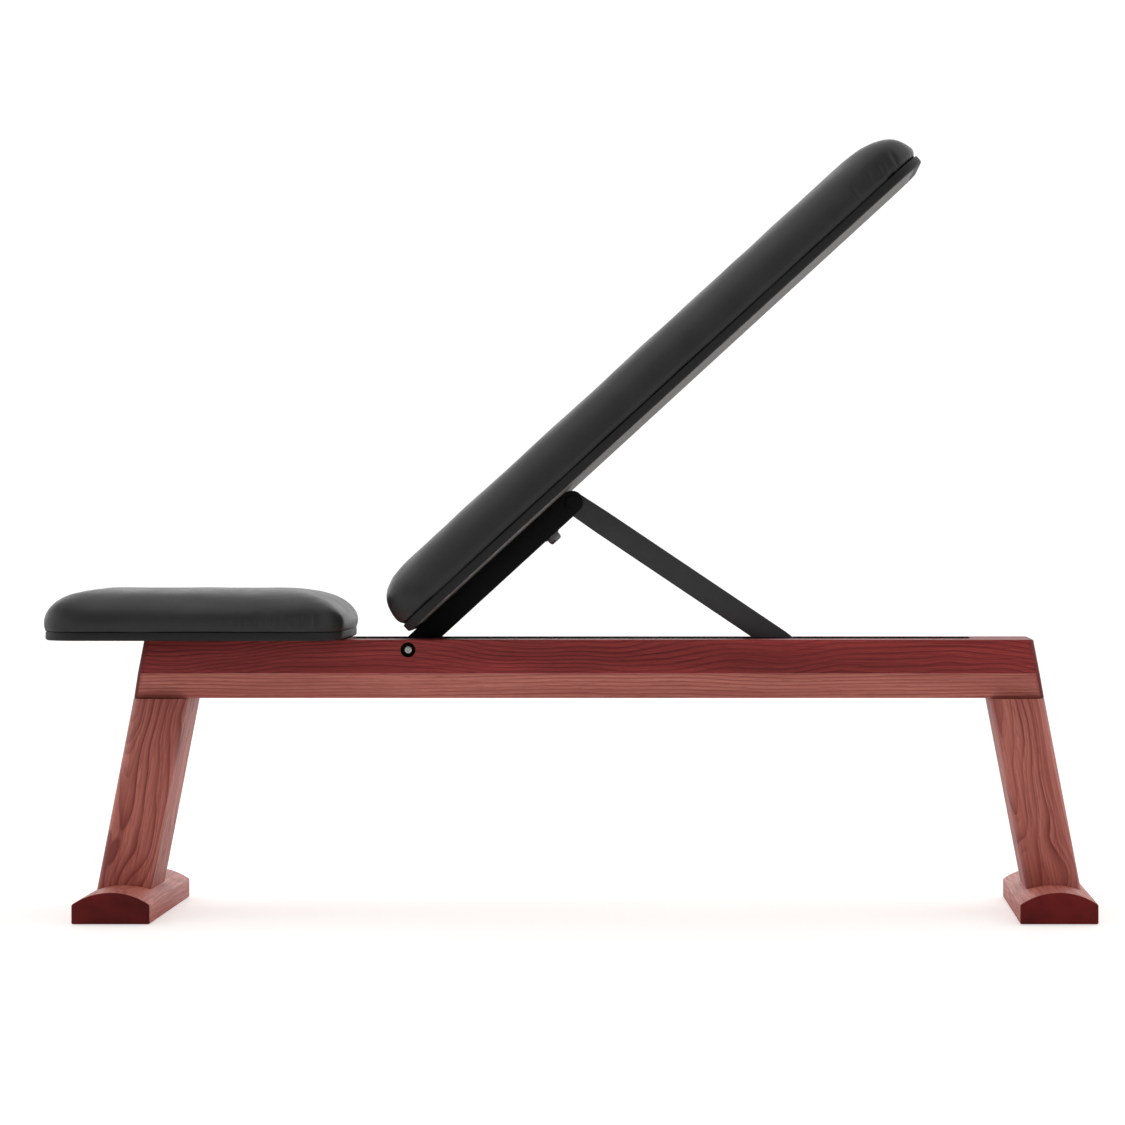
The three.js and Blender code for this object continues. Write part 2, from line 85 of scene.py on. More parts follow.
LENS = 147.2
LENS_SHIFT = (-0.1729, -0.0524)
CAMERA_PLACE = (0.2377, -5.885, 0.520)
SOFTBOX_SIZE = (3.2, 2.2)
SOFTBOX_PLACE = (0.1, -0.3, 2.7)
SOFTBOX_WATTS = 8
BACKGROUND = 1.05  # what the camera sees behind the bench
FRONT_TO_BACK = (-0.9, 0.1, 0.36, 1.5)  # the room's light, from where to where and how strong
LOW_TO_HIGH = (0.05, 0.9, 1.0, 0.55)
RANGE_INPUTS = ("From Min", "From Max", "To Min", "To Max")
FLOOR_GLOW = 0.46


def set_camera():
    camera = bpy.data.objects.new("camera", bpy.data.cameras.new("camera"))
    bpy.context.scene.collection.objects.link(camera)
    camera.data.lens = LENS
    camera.data.sensor_width = 36
    camera.data.shift_x, camera.data.shift_y = LENS_SHIFT
    camera.location = CAMERA_PLACE
    camera.rotation_euler = (math.radians(90), 0, 0)
    bpy.context.scene.camera = camera


def set_studio():
    """A white sweep behind the bench, a dimmer room in front and above, and a pale floor.

    The floor and the background look brighter to the camera than the light they give.
    """
    lamp = bpy.data.lights.new("overhead_softbox", "AREA")
    lamp.shape = "RECTANGLE"
    lamp.size, lamp.size_y = SOFTBOX_SIZE
    lamp.energy = SOFTBOX_WATTS
    light = bpy.data.objects.new("overhead_softbox", lamp)
    light.location = SOFTBOX_PLACE
    bpy.context.scene.collection.objects.link(light)

    world = bpy.data.worlds.new("studio")
    bpy.context.scene.world = world
    world.use_nodes = True
    tree = world.node_tree
    tree.nodes.clear()
    out = tree.nodes.new("ShaderNodeOutputWorld")
    seen = tree.nodes.new("ShaderNodeBackground")
    seen.inputs["Color"].default_value = (1, 1, 1, 1)
    seen.inputs["Strength"].default_value = BACKGROUND
    lit = tree.nodes.new("ShaderNodeBackground")
    place = tree.nodes.new("ShaderNodeTexCoord")
    split = tree.nodes.new("ShaderNodeSeparateXYZ")
    tree.links.new(place.outputs["Generated"], split.inputs[0])
    away = tree.nodes.new("ShaderNodeMapRange")
    for name, value in zip(RANGE_INPUTS, FRONT_TO_BACK):
        away.inputs[name].default_value = value
    above = tree.nodes.new("ShaderNodeMapRange")
    for name, value in zip(RANGE_INPUTS, LOW_TO_HIGH):
        above.inputs[name].default_value = value
    tree.links.new(split.outputs["Y"], away.inputs["Value"])
    tree.links.new(split.outputs["Z"], above.inputs["Value"])
    tree.links.new(away.outputs[0], lit.inputs["Color"])
    tree.links.new(above.outputs[0], lit.inputs["Strength"])
    path = tree.nodes.new("ShaderNodeLightPath")
    mix = tree.nodes.new("ShaderNodeMixShader")
    tree.links.new(path.outputs["Is Camera Ray"], mix.inputs[0])
    tree.links.new(lit.outputs[0], mix.inputs[1])
    tree.links.new(seen.outputs[0], mix.inputs[2])
    tree.links.new(mix.outputs[0], out.inputs[0])

    bpy.ops.object.select_all(action="DESELECT")
    bpy.ops.mesh.primitive_plane_add(size=40, location=(0, 0, -0.5 * MM))
    floor = bpy.context.object
    floor.name = "studio_floor"
    white = Material("studio_white")
    white.set(base=(0.76, 0.72, 0.69), rough=0.7)
    white.feed(white.shader.inputs["Emission Color"], (1, 1, 1))
    white.feed(white.shader.inputs["Emission Strength"], FLOOR_GLOW)
    dim = white.node("BsdfDiffuse", {"Color": (0.86, 0.86, 0.86)})
    ray = white.node("LightPath")
    shaders = {0: ray.outputs["Is Camera Ray"], 1: dim.outputs[0], 2: white.shader.outputs[0]}
    both = white.node("MixShader", shaders)
    white.tree.links.new(both.outputs[0], white.tree.nodes["Material Output"].inputs[0])
    floor.data.materials.append(white.material)
    bpy.context.scene.view_settings.view_transform = "Standard"


# ---- materials ----


class Material:
    """A material and short ways to add its nodes."""

    def __init__(self, name):
        self.material = bpy.data.materials.new(name)
        self.material.use_nodes = True
        self.tree = self.material.node_tree
        self.shader = self.tree.nodes["Principled BSDF"]

    def node(self, kind, inputs=None, **settings):
        node = self.tree.nodes.new("ShaderNode" + kind)
        for key, value in settings.items():
            setattr(node, key, value)
        for key, value in (inputs or {}).items():
            self.feed(node.inputs[key], value)
        return node

    def feed(self, socket, value):
        if isinstance(value, bpy.types.NodeSocket):
            self.tree.links.new(value, socket)
        elif isinstance(value, tuple) and len(value) == 3 and socket.type == "RGBA":
            socket.default_value = (*value, 1)
        else:
            socket.default_value = value

    def set(self, base, rough, metal=0.0, normal=None, level=0.5):
        inputs = self.shader.inputs
        self.feed(inputs["Metallic"], metal)
        self.feed(inputs["Specular IOR Level"], level)
        self.feed(inputs["Base Color"], base)
        self.feed(inputs["Roughness"], rough)
        if normal is not None:
            self.feed(inputs["Normal"], normal)

    def place(self, turn=(0, 0, 0), shift=(0, 0, 0)):
        """Object coordinates, turned and moved."""
        source = self.node("TexCoord")
        mapping = self.node("Mapping", vector_type="POINT")
        mapping.inputs["Rotation"].default_value = turn
        mapping.inputs["Location"].default_value = shift
        self.tree.links.new(source.outputs["Object"], mapping.inputs[0])
        return mapping.outputs[0]

    def noise(self, place, scale, detail=2.0, rough=0.5):
        inputs = {"Vector": place, "Scale": scale, "Detail": detail, "Roughness": rough}
        return self.node("TexNoise", inputs).outputs[0]

    def maths(self, operation, first, second=0.0):
        node = self.node("Math", operation=operation)
        self.feed(node.inputs[0], first)
        self.feed(node.inputs[1], second)
        return node.outputs[0]

    def span(self, value, low, high, new_low=0.0, new_high=1.0):
        inputs = {"Value": value, "From Min": low, "From Max": high}
        inputs.update({"To Min": new_low, "To Max": new_high})
        return self.node("MapRange", inputs).outputs[0]

    def blend(self, amount, first, second):
        node = self.node("Mix", data_type="RGBA")
        self.feed(node.inputs[0], amount)
        self.feed(node.inputs[6], first)
        self.feed(node.inputs[7], second)
        return node.outputs[2]

    def bump(self, height, strength, depth):
        inputs = {"Height": height, "Strength": strength, "Distance": depth}
        return self.node("Bump", inputs).outputs[0]


RING_SLANT = 0.45
PORE_DEPTH = 0.5


def ash(name, turn, pale, dark, ring, wave, seed, bold):
    """Stained ash with its grain along X after the turn: wavy rings, open pores, dark ends."""
    paint = Material(name)
    along = paint.place(turn=turn, shift=(seed, seed * 0.7, seed * 0.3))

    def stretched(x, yz):
        return paint.node("VectorMath", {0: along, 1: (x, yz, yz)}, operation="MULTIPLY").outputs[0]

    broad = paint.maths("SUBTRACT", paint.noise(stretched(1.6, 5.0), 1.0, detail=1.0), 0.5)
    waves = paint.maths("SUBTRACT", paint.noise(stretched(6.5, 15.0), 1.0, detail=1.5, rough=0.4), 0.5)
    parts = paint.node("SeparateXYZ", {0: along})
    across = paint.maths("ADD", parts.outputs["Z"], paint.maths("MULTIPLY", parts.outputs["Y"], RING_SLANT))
    waves = paint.maths("MULTIPLY", waves, wave)
    rings = paint.maths("ADD", paint.maths("MULTIPLY", across, ring), waves)
    rings = paint.maths("ADD", rings, paint.maths("MULTIPLY", broad, wave * 2.4))
    step = paint.maths("FRACT", rings)
    late = paint.maths("MULTIPLY", paint.span(step, 0.38, 0.93), paint.span(step, 1.0, 0.94))
    late = paint.maths("POWER", late, 1.4)
    fine_step = paint.maths("FRACT", paint.maths("MULTIPLY", rings, 2.6))
    fine = paint.maths("MULTIPLY", paint.span(fine_step, 0.35, 0.9), paint.span(fine_step, 1.0, 0.9))
    strength = paint.span(paint.noise(stretched(3.0, 40.0), 1.0, detail=2.0), 0.34, 0.62, bold[0], bold[1])
    late = paint.maths("MULTIPLY", late, strength)
    light_strength = paint.span(paint.noise(stretched(4.0, 60.0), 1.0, detail=2.0), 0.62, 0.36, 0.05, 0.55)
    late = paint.maths("MAXIMUM", late, paint.maths("MULTIPLY", fine, light_strength))
    streaks = paint.span(paint.noise(stretched(9.0, 420.0), 1.0, detail=3.0, rough=0.65), 0.33, 0.70)
    dashes = paint.span(paint.noise(stretched(55.0, 1500.0), 1.0, detail=1.0), 0.55, 0.68)
    early = paint.span(step, 0.55, 0.05, 0.25, 1.0)
    dashes = paint.maths("MULTIPLY", dashes, early)
    tone = paint.span(paint.noise(stretched(2.5, 22.0), 1.0, detail=2.0), 0.32, 0.68)

    middle = tuple(0.6 * a + 0.4 * b for a, b in zip(pale, dark))
    light = tuple(min(c * 1.18, 1) for c in pale)
    colour = paint.blend(tone, middle, light)
    colour = paint.blend(paint.maths("MULTIPLY", streaks, 0.55), colour, dark)
    colour = paint.blend(late, colour, tuple(c * 0.65 for c in dark))
    colour = paint.blend(paint.maths("MULTIPLY", dashes, PORE_DEPTH), colour, tuple(c * 0.45 for c in dark))
    normal = paint.node("TexCoord").outputs["Normal"]
    spin = paint.node("Mapping", vector_type="VECTOR")
    spin.inputs["Rotation"].default_value = turn
    paint.tree.links.new(normal, spin.inputs[0])
    facing = paint.maths("ABSOLUTE", paint.node("SeparateXYZ", {0: spin.outputs[0]}).outputs["X"])
    colour = paint.blend(paint.span(facing, 0.06, 0.80, 0.0, 0.90), colour, SOAKED)
    height = paint.maths("SUBTRACT", paint.maths("MULTIPLY", late, 0.35), dashes)
    gloss = paint.span(streaks, 0, 1, 0.42, 0.58)
    paint.set(base=colour, rough=gloss, normal=paint.bump(height, 0.30, 0.12 * MM), level=0.32)
    return paint.material


def end_grain(name, colour):
    """The cut ends of the wood, where the stain goes deep: arcs of rings and open pores."""
    paint = Material(name)
    place = paint.place()
    arcs = paint.node("TexWave", {"Vector": place, "Scale": 55.0, "Distortion": 3.0, "Detail": 2.0})
    arcs.wave_type = "RINGS"
    pores = paint.span(paint.noise(place, 900.0, detail=2.0), 0.42, 0.62)
    deep = tuple(c * 0.5 for c in colour)
    base = paint.blend(paint.maths("MULTIPLY", arcs.outputs[1], 0.5), colour, deep)
    base = paint.blend(paint.maths("MULTIPLY", pores, 0.4), base, deep)
    cloud = paint.span(paint.noise(place, 18.0, detail=3.0), 0.36, 0.66)
    base = paint.blend(cloud, base, tuple(c * 1.7 for c in colour))
    paint.set(base=base, rough=0.55, normal=paint.bump(pores, 0.25, 0.1 * MM), level=0.2)
    return paint.material


def hide(name, colour, rough, crease=0.0):
    """Black leather: pebbled grain, fine pores, and a little unevenness in its shine."""
    paint = Material(name)
    place = paint.place()
    warp = paint.node("TexNoise", {"Vector": place, "Scale": 260.0, "Detail": 2.0})
    bent = paint.node("VectorMath", {0: warp.outputs[1], 1: (0.0012, 0.0012, 0.0012)}, operation="MULTIPLY")
    where = paint.node("VectorMath", {0: place, 1: bent.outputs[0]}, operation="ADD").outputs[0]
    cells = paint.node("TexVoronoi", {"Vector": where, "Scale": 620.0}, feature="DISTANCE_TO_EDGE")
    pebble = paint.span(cells.outputs[0], 0.0, 0.16)
    pores = paint.noise(place, 2400.0, detail=1.0)
    soft = paint.noise(place, 22.0, detail=3.0, rough=0.55)
    height = paint.maths("ADD", pebble, paint.maths("MULTIPLY", pores, 0.35))
    height = paint.maths("ADD", height, paint.maths("MULTIPLY", soft, crease))
    dull, bright = tuple(c * 0.85 for c in colour), tuple(c * 1.2 for c in colour)
    base = paint.blend(paint.span(soft, 0.3, 0.7), dull, bright)
    base = paint.blend(paint.span(pebble, 0.0, 0.5, 0.4, 0.0), base, tuple(c * 0.4 for c in colour))
    sheen = paint.span(soft, 0.3, 0.7, rough - 0.04, rough + 0.05)
    sheen = paint.maths("ADD", sheen, paint.span(pebble, 0.0, 1.0, 0.12, 0.0))
    paint.set(base=base, rough=sheen, normal=paint.bump(height, 0.30, 0.12 * MM), level=0.42)
    return paint.material


def cloth(name, colour):
    """A thin non-woven lining."""
    paint = Material(name)
    place = paint.place(turn=(0, back_angle, 0))
    fibres = paint.noise(place, 1600.0, detail=3.0, rough=0.7)
    dots = paint.node("TexVoronoi", {"Vector": place, "Scale": 480.0}).outputs[0]
    pressed = paint.span(dots, 0.15, 0.4)
    base = paint.blend(fibres, tuple(c * 0.7 for c in colour), tuple(c * 1.3 for c in colour))
    base = paint.blend(paint.span(pressed, 0, 1, 0.35, 0.0), base, tuple(c * 0.5 for c in colour))
    height = paint.maths("ADD", fibres, pressed)
    paint.set(base=base, rough=0.55, normal=paint.bump(height, 0.3, 0.1 * MM))
    return paint.material


def powder_coat(name, colour, rough, level=0.5):
    """Powder-coated steel: a fine orange-peel skin, rubbed a little brighter here and there."""
    paint = Material(name)
    place = paint.place()
    peel = paint.noise(place, 900.0, detail=2.0)
    broad = paint.noise(place, 30.0, detail=3.0)
    base = paint.blend(paint.span(broad, 0.35, 0.75), colour, tuple(c * 1.35 for c in colour))
    sheen = paint.span(peel, 0.3, 0.7, rough - 0.05, rough + 0.08)
    paint.set(base=base, rough=sheen, normal=paint.bump(peel, 0.12, 0.08 * MM), level=level)
    return paint.material


def bare_steel(name, colour, rough):
    """Plated or bright steel, with fine tool marks."""
    paint = Material(name)
    place = paint.place()
    marks = paint.noise(place, 1800.0, detail=2.0, rough=0.7)
    stain = paint.noise(place, 60.0, detail=3.0)
    base = paint.blend(paint.span(stain, 0.35, 0.7), colour, tuple(c * 0.75 for c in colour))
    sheen = paint.span(marks, 0.3, 0.7, rough - 0.05, rough + 0.10)
    paint.set(base=base, rough=sheen, metal=1.0, normal=paint.bump(marks, 0.08, 0.05 * MM))
    return paint.material


def moulded(name, colour):
    """Matt moulded nylon."""
    paint = Material(name)
    speckle = paint.noise(paint.place(), 1200.0, detail=2.0)
    base = paint.blend(speckle, colour, tuple(c * 1.5 for c in colour))
    paint.set(base=base, rough=0.6, normal=paint.bump(speckle, 0.1, 0.05 * MM))
    return paint.material


# ---- modelling helpers ----


def only(piece):
    """Selects one piece and nothing else."""
    bpy.ops.object.select_all(action="DESELECT")
    piece.select_set(True)
    bpy.context.view_layer.objects.active = piece


def settle(piece):
    """Puts the piece's place, turn and size into its mesh."""
    only(piece)
    bpy.ops.object.transform_apply(location=True, rotation=True, scale=True)


def block(name, low, high):
    bpy.ops.object.select_all(action="DESELECT")
    low, high = Vector(low), Vector(high)
    bpy.ops.mesh.primitive_cube_add(size=1, location=(low + high) / 2)
    piece = bpy.context.object
    piece.name = name
    piece.scale = high - low
    settle(piece)
    return piece


def bar(name, start, end, radius, sides=48):
    """A round bar between two points."""
    bpy.ops.object.select_all(action="DESELECT")
    start, end = Vector(start), Vector(end)
    reach = end - start
    bpy.ops.mesh.primitive_cylinder_add(
        vertices=sides, radius=radius, depth=reach.length, location=(start + end) / 2
    )
    piece = bpy.context.object
    piece.name = name
    piece.rotation_euler = reach.to_track_quat("Z", "Y").to_euler()
    settle(piece)
    return piece


def edit(piece):
    only(piece)
    bpy.ops.object.mode_set(mode="EDIT")


def done():
    bpy.ops.object.mode_set(mode="OBJECT")


def middle_of(part):
    if isinstance(part, bmesh.types.BMVert):
        return part.co
    return sum((v.co for v in part.verts), Vector()) / len(part.verts)


def pick(piece, kind, test):
    """In edit mode, selects the corners, edges or faces that pass a test on their middle."""
    bpy.ops.mesh.select_mode(type=kind)
    bpy.ops.mesh.select_all(action="DESELECT")
    shape = bmesh.from_edit_mesh(piece.data)
    parts = {"VERT": shape.verts, "EDGE": shape.edges, "FACE": shape.faces}[kind]
    for part in parts:
        if test(middle_of(part), part):
            part.select_set(True)
    shape.select_flush_mode()
    bmesh.update_edit_mesh(piece.data)


def slice_at(co, normal):
    bpy.ops.mesh.select_all(action="SELECT")
    bpy.ops.mesh.bisect(plane_co=co, plane_no=normal)


def use(piece, kind, **settings):
    """Adds a modifier and applies it."""
    modifier = piece.modifiers.new(kind.lower(), kind)
    for key, value in settings.items():
        setattr(modifier, key, value)
    only(piece)
    bpy.ops.object.modifier_apply(modifier=modifier.name)


def soften(piece, width, segments=3, angle=25):
    """Rounds the piece's sharp edges."""
    use(
        piece,
        "BEVEL",
        width=width,
        segments=segments,
        limit_method="ANGLE",
        angle_limit=math.radians(angle),
        miter_outer="MITER_ARC",
    )


def drill(piece, start, end, radius, sides=48):
    tool = bar("drill", start, end, radius, sides)
    carve(piece, tool)


def carve(piece, tool, keep=False):
    use(piece, "BOOLEAN", object=tool, operation="DIFFERENCE", solver="EXACT")
    if not keep:
        bpy.data.objects.remove(tool)


def weld(piece, others):
    """Joins pieces into one mesh."""
    bpy.ops.object.select_all(action="DESELECT")
    for part in [piece, *others]:
        part.select_set(True)
    bpy.context.view_layer.objects.active = piece
    bpy.ops.object.join()


def give_finish(piece, *choices):
    """Gives the piece its materials: the first, and others on the faces that pass their test."""
    piece.data.materials.clear()
    for choice in choices:
        piece.data.materials.append(choice if not isinstance(choice, tuple) else choice[0])
    for face in piece.data.polygons:
        face.material_index = 0
        for number, choice in enumerate(choices):
            if isinstance(choice, tuple) and choice[1](face.center, face.normal):
                face.material_index = number


def smooth(piece, angle=32):
    only(piece)
    bpy.ops.object.shade_smooth_by_angle(angle=math.radians(angle))


def finish_piece(piece, body, slot, *replaced):
    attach(piece, body)
    if replaced:
        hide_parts(*replaced)
    return piece


def raise_back(piece):
    """Turns a piece drawn lying along X from the pivot up to the back's place at rest."""
    piece.data.transform(Matrix.Translation(pivot) @ Matrix.Rotation(-back_angle, 4, "Y"))


def swing_strut(piece):
    """Turns a piece drawn lying along X from the hinge to the strut's place at rest."""
    piece.data.transform(Matrix.Translation(hinge) @ Matrix.Rotation(-strut_angle, 4, "Y"))


# ---- wood ----

BAND = 32 * MM  # height of the beam's sloping lower band
BAND_INSET = 10 * MM
END_ROUND = 9 * MM
BORE = 9.5 * MM
BORE_DEPTH = 10.3 * MM
SCREW_BORE = 9.5 * MM
FOOT_SIDE = 24 * MM  # height of a foot's upright side, below its arch
LEG_THICKNESS = 69.5 * MM
LEG_CORNER = 22 * MM
LEG_BASE = 28 * MM  # where a leg is cut before it is fitted to its foot


def slope_end(piece, bottom, heights, end_x, side):
    """Leans the beam's end over, in line with the leg under it."""
    for z in heights:
        pick(piece, "VERT", lambda co, v: abs(co.z - z) < 1e-5 and abs(co.x - end_x) < 1e-5)
        move = -side * (z - bottom) * math.tan(leg_lean)
        bpy.ops.transform.translate(value=(move, 0, 0))


def on_end_corner(edge, outer, low, high, side):
    """True for the corner between a rail's outer face and its leaning end."""
    first, second = (v.co for v in edge.verts)
    near_end = all(co.x < low.x + 0.03 or co.x > high.x - 0.03 for co in (first, second))
    on_face = all(co.y * side > outer * side - BAND_INSET - 1e-5 for co in (first, second))
    return near_end and on_face and abs(first.z - second.z) > 0.02


def rail(side_name, side):
    node = "beam_rail_" + side_name
    low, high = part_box(node)
    piece = block("rail_" + side_name, low, high)
    band_top = low.z + BAND
    edit(piece)
    slice_at((0, 0, band_top), (0, 0, 1))
    outer = low.y if side < 0 else high.y
    pick(piece, "VERT", lambda co, v: abs(co.y - outer) < 1e-5 and co.z < low.z + 1e-5)
    bpy.ops.transform.translate(value=(0, -side * BAND_INSET, 0))
    for end_x, way in ((low.x, -1), (high.x, 1)):
        slope_end(piece, low.z, (band_top, high.z), end_x, way)
    pick(piece, "EDGE", lambda co, e: on_end_corner(e, outer, low, high, side))
    bpy.ops.mesh.bevel(offset=END_ROUND, segments=7, affect="EDGES")
    done()
    soften(piece, 1.2 * MM, segments=3, angle=12)
    bore_floor = (pivot.x, outer - side * BORE_DEPTH, pivot.z)
    drill(piece, bore_floor, (pivot.x, outer + side * 0.02, pivot.z), BORE)
    for number in (1, 2, 3, 4):
        bolt_low, bolt_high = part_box(f"seat_bolt_{number}")
        spot = (bolt_low + bolt_high) / 2
        if spot.y * side > 0:
            drill(piece, (spot.x, spot.y, 0.2), (spot.x, spot.y, bolt_low.z + 8.3 * MM), SCREW_BORE)

    # The faces inside the pivot's counterbore get a near-black brown, a painted shade for the hole rather
    # than a stain of the wood.
    def in_bore(co, normal):
        away = math.hypot(co.x - pivot.x, co.z - pivot.z)
        return away < BORE + 0.3 * MM and abs(co.y) < abs(outer) - 0.3 * MM

    def on_band(co, normal):
        return co.z < band_top - 0.2 * MM and abs(co.y) > 0.03 and abs(normal.x) < 0.5

    def on_end(co, normal):
        return abs(normal.x) > 0.85 and (co.x < low.x + 0.03 or co.x > high.x - 0.03)

    others = ((wood["band"], on_band), (wood["end"], on_end), (wood["bore"], in_bore))
    give_finish(piece, wood["beam"], *others)
    smooth(piece)
    return finish_piece(piece, "frame", "stained_ash", node)


def beam_blocks():
    for node, side in (("beam_block_seat_end", -1), ("beam_block_head_end", 1)):
        low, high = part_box(node)
        piece = block(node.replace("beam_", ""), low, high)
        edit(piece)
        slope_end(piece, low.z, (high.z,), low.x if side < 0 else high.x, side)
        done()
        soften(piece, 0.6 * MM)
        give_finish(piece, wood["beam"], (wood["end"], lambda co, normal: abs(normal.x) > 0.85))
        smooth(piece)
        finish_piece(piece, "frame", "stained_ash", node)


def foot(end):
    node = f"foot_{end}_end"
    low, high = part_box(node)
    piece = block("foot_" + end, low, high)
    half = (high.x - low.x) / 2
    middle = (high.x + low.x) / 2
    rise = high.z - FOOT_SIDE
    radius = (half * half + rise * rise) / (2 * rise)
    cuts = 24
    edit(piece)
    for number in range(1, cuts):
        slice_at((low.x + 2 * half * number / cuts, 0, 0), (1, 0, 0))
    shape = bmesh.from_edit_mesh(piece.data)
    for v in shape.verts:
        if v.co.z > FOOT_SIDE:
            v.co.z = high.z - radius + math.sqrt(radius**2 - (v.co.x - middle) ** 2)
    bmesh.update_edit_mesh(piece.data)
    done()
    soften(piece, 1.6 * MM, segments=3, angle=22)
    for label in ("front", "rear"):
        head_low, head_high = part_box(f"leg_bolt_{end}_{label}")
        y = (head_low.y + head_high.y) / 2
        way = -1 if end == "seat" else 1
        lean = Vector((-way * math.tan(leg_lean), 0, 1))
        root = Vector((middle, y, high.z))
        drill(piece, root - lean * (high.z + 0.02), root - lean * (high.z - 15.3 * MM), 9 * MM)

    def on_end(co, normal):
        return abs(normal.y) > 0.7 and abs(co.y) > 0.19

    give_finish(piece, wood["foot"], (wood["end"], on_end))
    smooth(piece, 20)
    return finish_piece(piece, "frame", "stained_ash", node)


def leg(end, foot_piece):
    node = f"leg_{end}_end"
    low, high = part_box(node)
    way = -1 if end == "seat" else 1
    # The box's inner side is the top's inner edge; the post leans outwards from there.
    inner = high.x if way < 0 else low.x
    outer = inner + way * LEG_THICKNESS
    start = min(inner, outer)
    piece = block("leg_" + end, (start, low.y, LEG_BASE), (start + LEG_THICKNESS, high.y, high.z))
    edit(piece)
    pick(piece, "EDGE", lambda co, e: abs(e.verts[0].co.z - e.verts[1].co.z) > 0.1)
    bpy.ops.mesh.bevel(offset=LEG_CORNER, segments=12, affect="EDGES")
    pick(piece, "VERT", lambda co, v: co.z < LEG_BASE + MM)
    drop = (high.z - LEG_BASE) * math.tan(leg_lean)
    bpy.ops.transform.translate(value=(way * drop, 0, 0))
    done()
    carve(piece, foot_piece, keep=True)
    soften(piece, 0.8 * MM, segments=2, angle=50)
    give_finish(piece, wood["leg_" + end])
    smooth(piece, 40)
    return finish_piece(piece, "frame", "stained_ash", node)


# ---- pads ----


def plan_points(low, high, corner, steps=10):
    """Points round a rounded rectangle in X and Y."""
    points = []
    for number, (x, y) in enumerate(((1, -1), (1, 1), (-1, 1), (-1, -1))):
        centre_x = high[0] - corner if x > 0 else low[0] + corner
        centre_y = high[1] - corner if y > 0 else low[1] + corner
        for step in range(steps + 1):
            turn = math.radians(-90 + 90 * number + 90 * step / steps)
            points.append((centre_x + corner * math.cos(turn), centre_y + corner * math.sin(turn)))
    return points


def swell_in(distance, reach, fullness):
    """How much of its height a cushion has at a distance in from an edge, from 0 to 1."""
    left = 1 - min(max(distance / reach, 0), 1)
    return math.sqrt(1 - left**fullness)


def crown_height(x, y, start, end, half, height, ends):
    """The top of a cushion: full at its ends, and falling more gently over its long sides."""
    (low_reach, low_full), (high_reach, high_full) = ends
    along = swell_in(x - start, low_reach, low_full) * swell_in(end - x, high_reach, high_full)
    slow = min(swell_in(x - start, SLOW_REACH, 2), swell_in(end - x, SLOW_REACH, 2))
    along = (1 - SLOW_SHARE) * along + SLOW_SHARE * slow
    over = swell_in(half - abs(y), CROWN_SIDE, 2.2)
    return LIP + (height - LIP) * along * (SIDE_SHARE + (1 - SIDE_SHARE) * over)


def cushion_blank(name, start, end, bottom, height, ends):
    """A cushion before it is stuffed, drawn as rings from its seam up and in to its middle."""
    half = PAD_WIDTH / 2 + OVERHANG - SWELL
    start, end = start + SWELL, end - SWELL
    height -= SWELL
    corner = PAD_CORNER + OVERHANG - SWELL
    shape = bmesh.new()
    loops = []

    def ring(inset, z=None):
        radius = max(corner - inset, 2 * MM) if inset > 0 else corner - inset
        low, high = (start + inset, -half + inset), (end - inset, half - inset)
        loop = []
        for x, y in plan_points(low, high, radius, steps=14):
            rise = crown_height(x, y, start, end, half, height, ends) if z is None else z
            loop.append(shape.verts.new((x, y, bottom + rise)))
        loops.append(loop)

    for inset, z in ((0.9 * MM, 0), (0.3 * MM, 1.6 * MM), (0.1 * MM, 7 * MM)):
        ring(inset, z)
    steps = 26
    for step in range(steps):
        ring((half - 4 * MM) * (1 - math.cos(math.radians(90 * step / steps))))
    for lower, upper in zip(loops, loops[1:]):
        count = len(lower)
        for number in range(count):
            after = (number + 1) % count
            shape.faces.new((lower[number], lower[after], upper[after], upper[number]))
    shape.faces.new(loops[-1])
    shape.faces.new(list(reversed(loops[0])))
    mesh = bpy.data.meshes.new(name)
    shape.to_mesh(mesh)
    shape.free()
    piece = bpy.data.objects.new(name, mesh)
    bpy.context.scene.collection.objects.link(piece)
    return piece


SWELL = 1.5 * MM  # how much smaller the blank is than the stuffed cushion
MOST_MOVED = SWELL * 2  # the cloth's movement is eased off to this
CROWN_FROM = 12 * MM  # the height where the rounding of the crown begins
LIP = 12 * MM  # the height where a cushion is widest
CROWN_SIDE = 58 * MM
SIDE_SHARE = 0.20  # how much of the height is a steep side
SLOW_REACH = 170 * MM
SLOW_SHARE = 0.10  # how much of the height comes slowly, far in from the ends
SEAT_ENDS = ((64 * MM, 2.9), (92 * MM, 2.6))
BACK_ENDS = ((46 * MM, 3.1), (84 * MM, 3.0))
SEAT_HEIGHT = 51 * MM
BACK_HEIGHT = 57 * MM


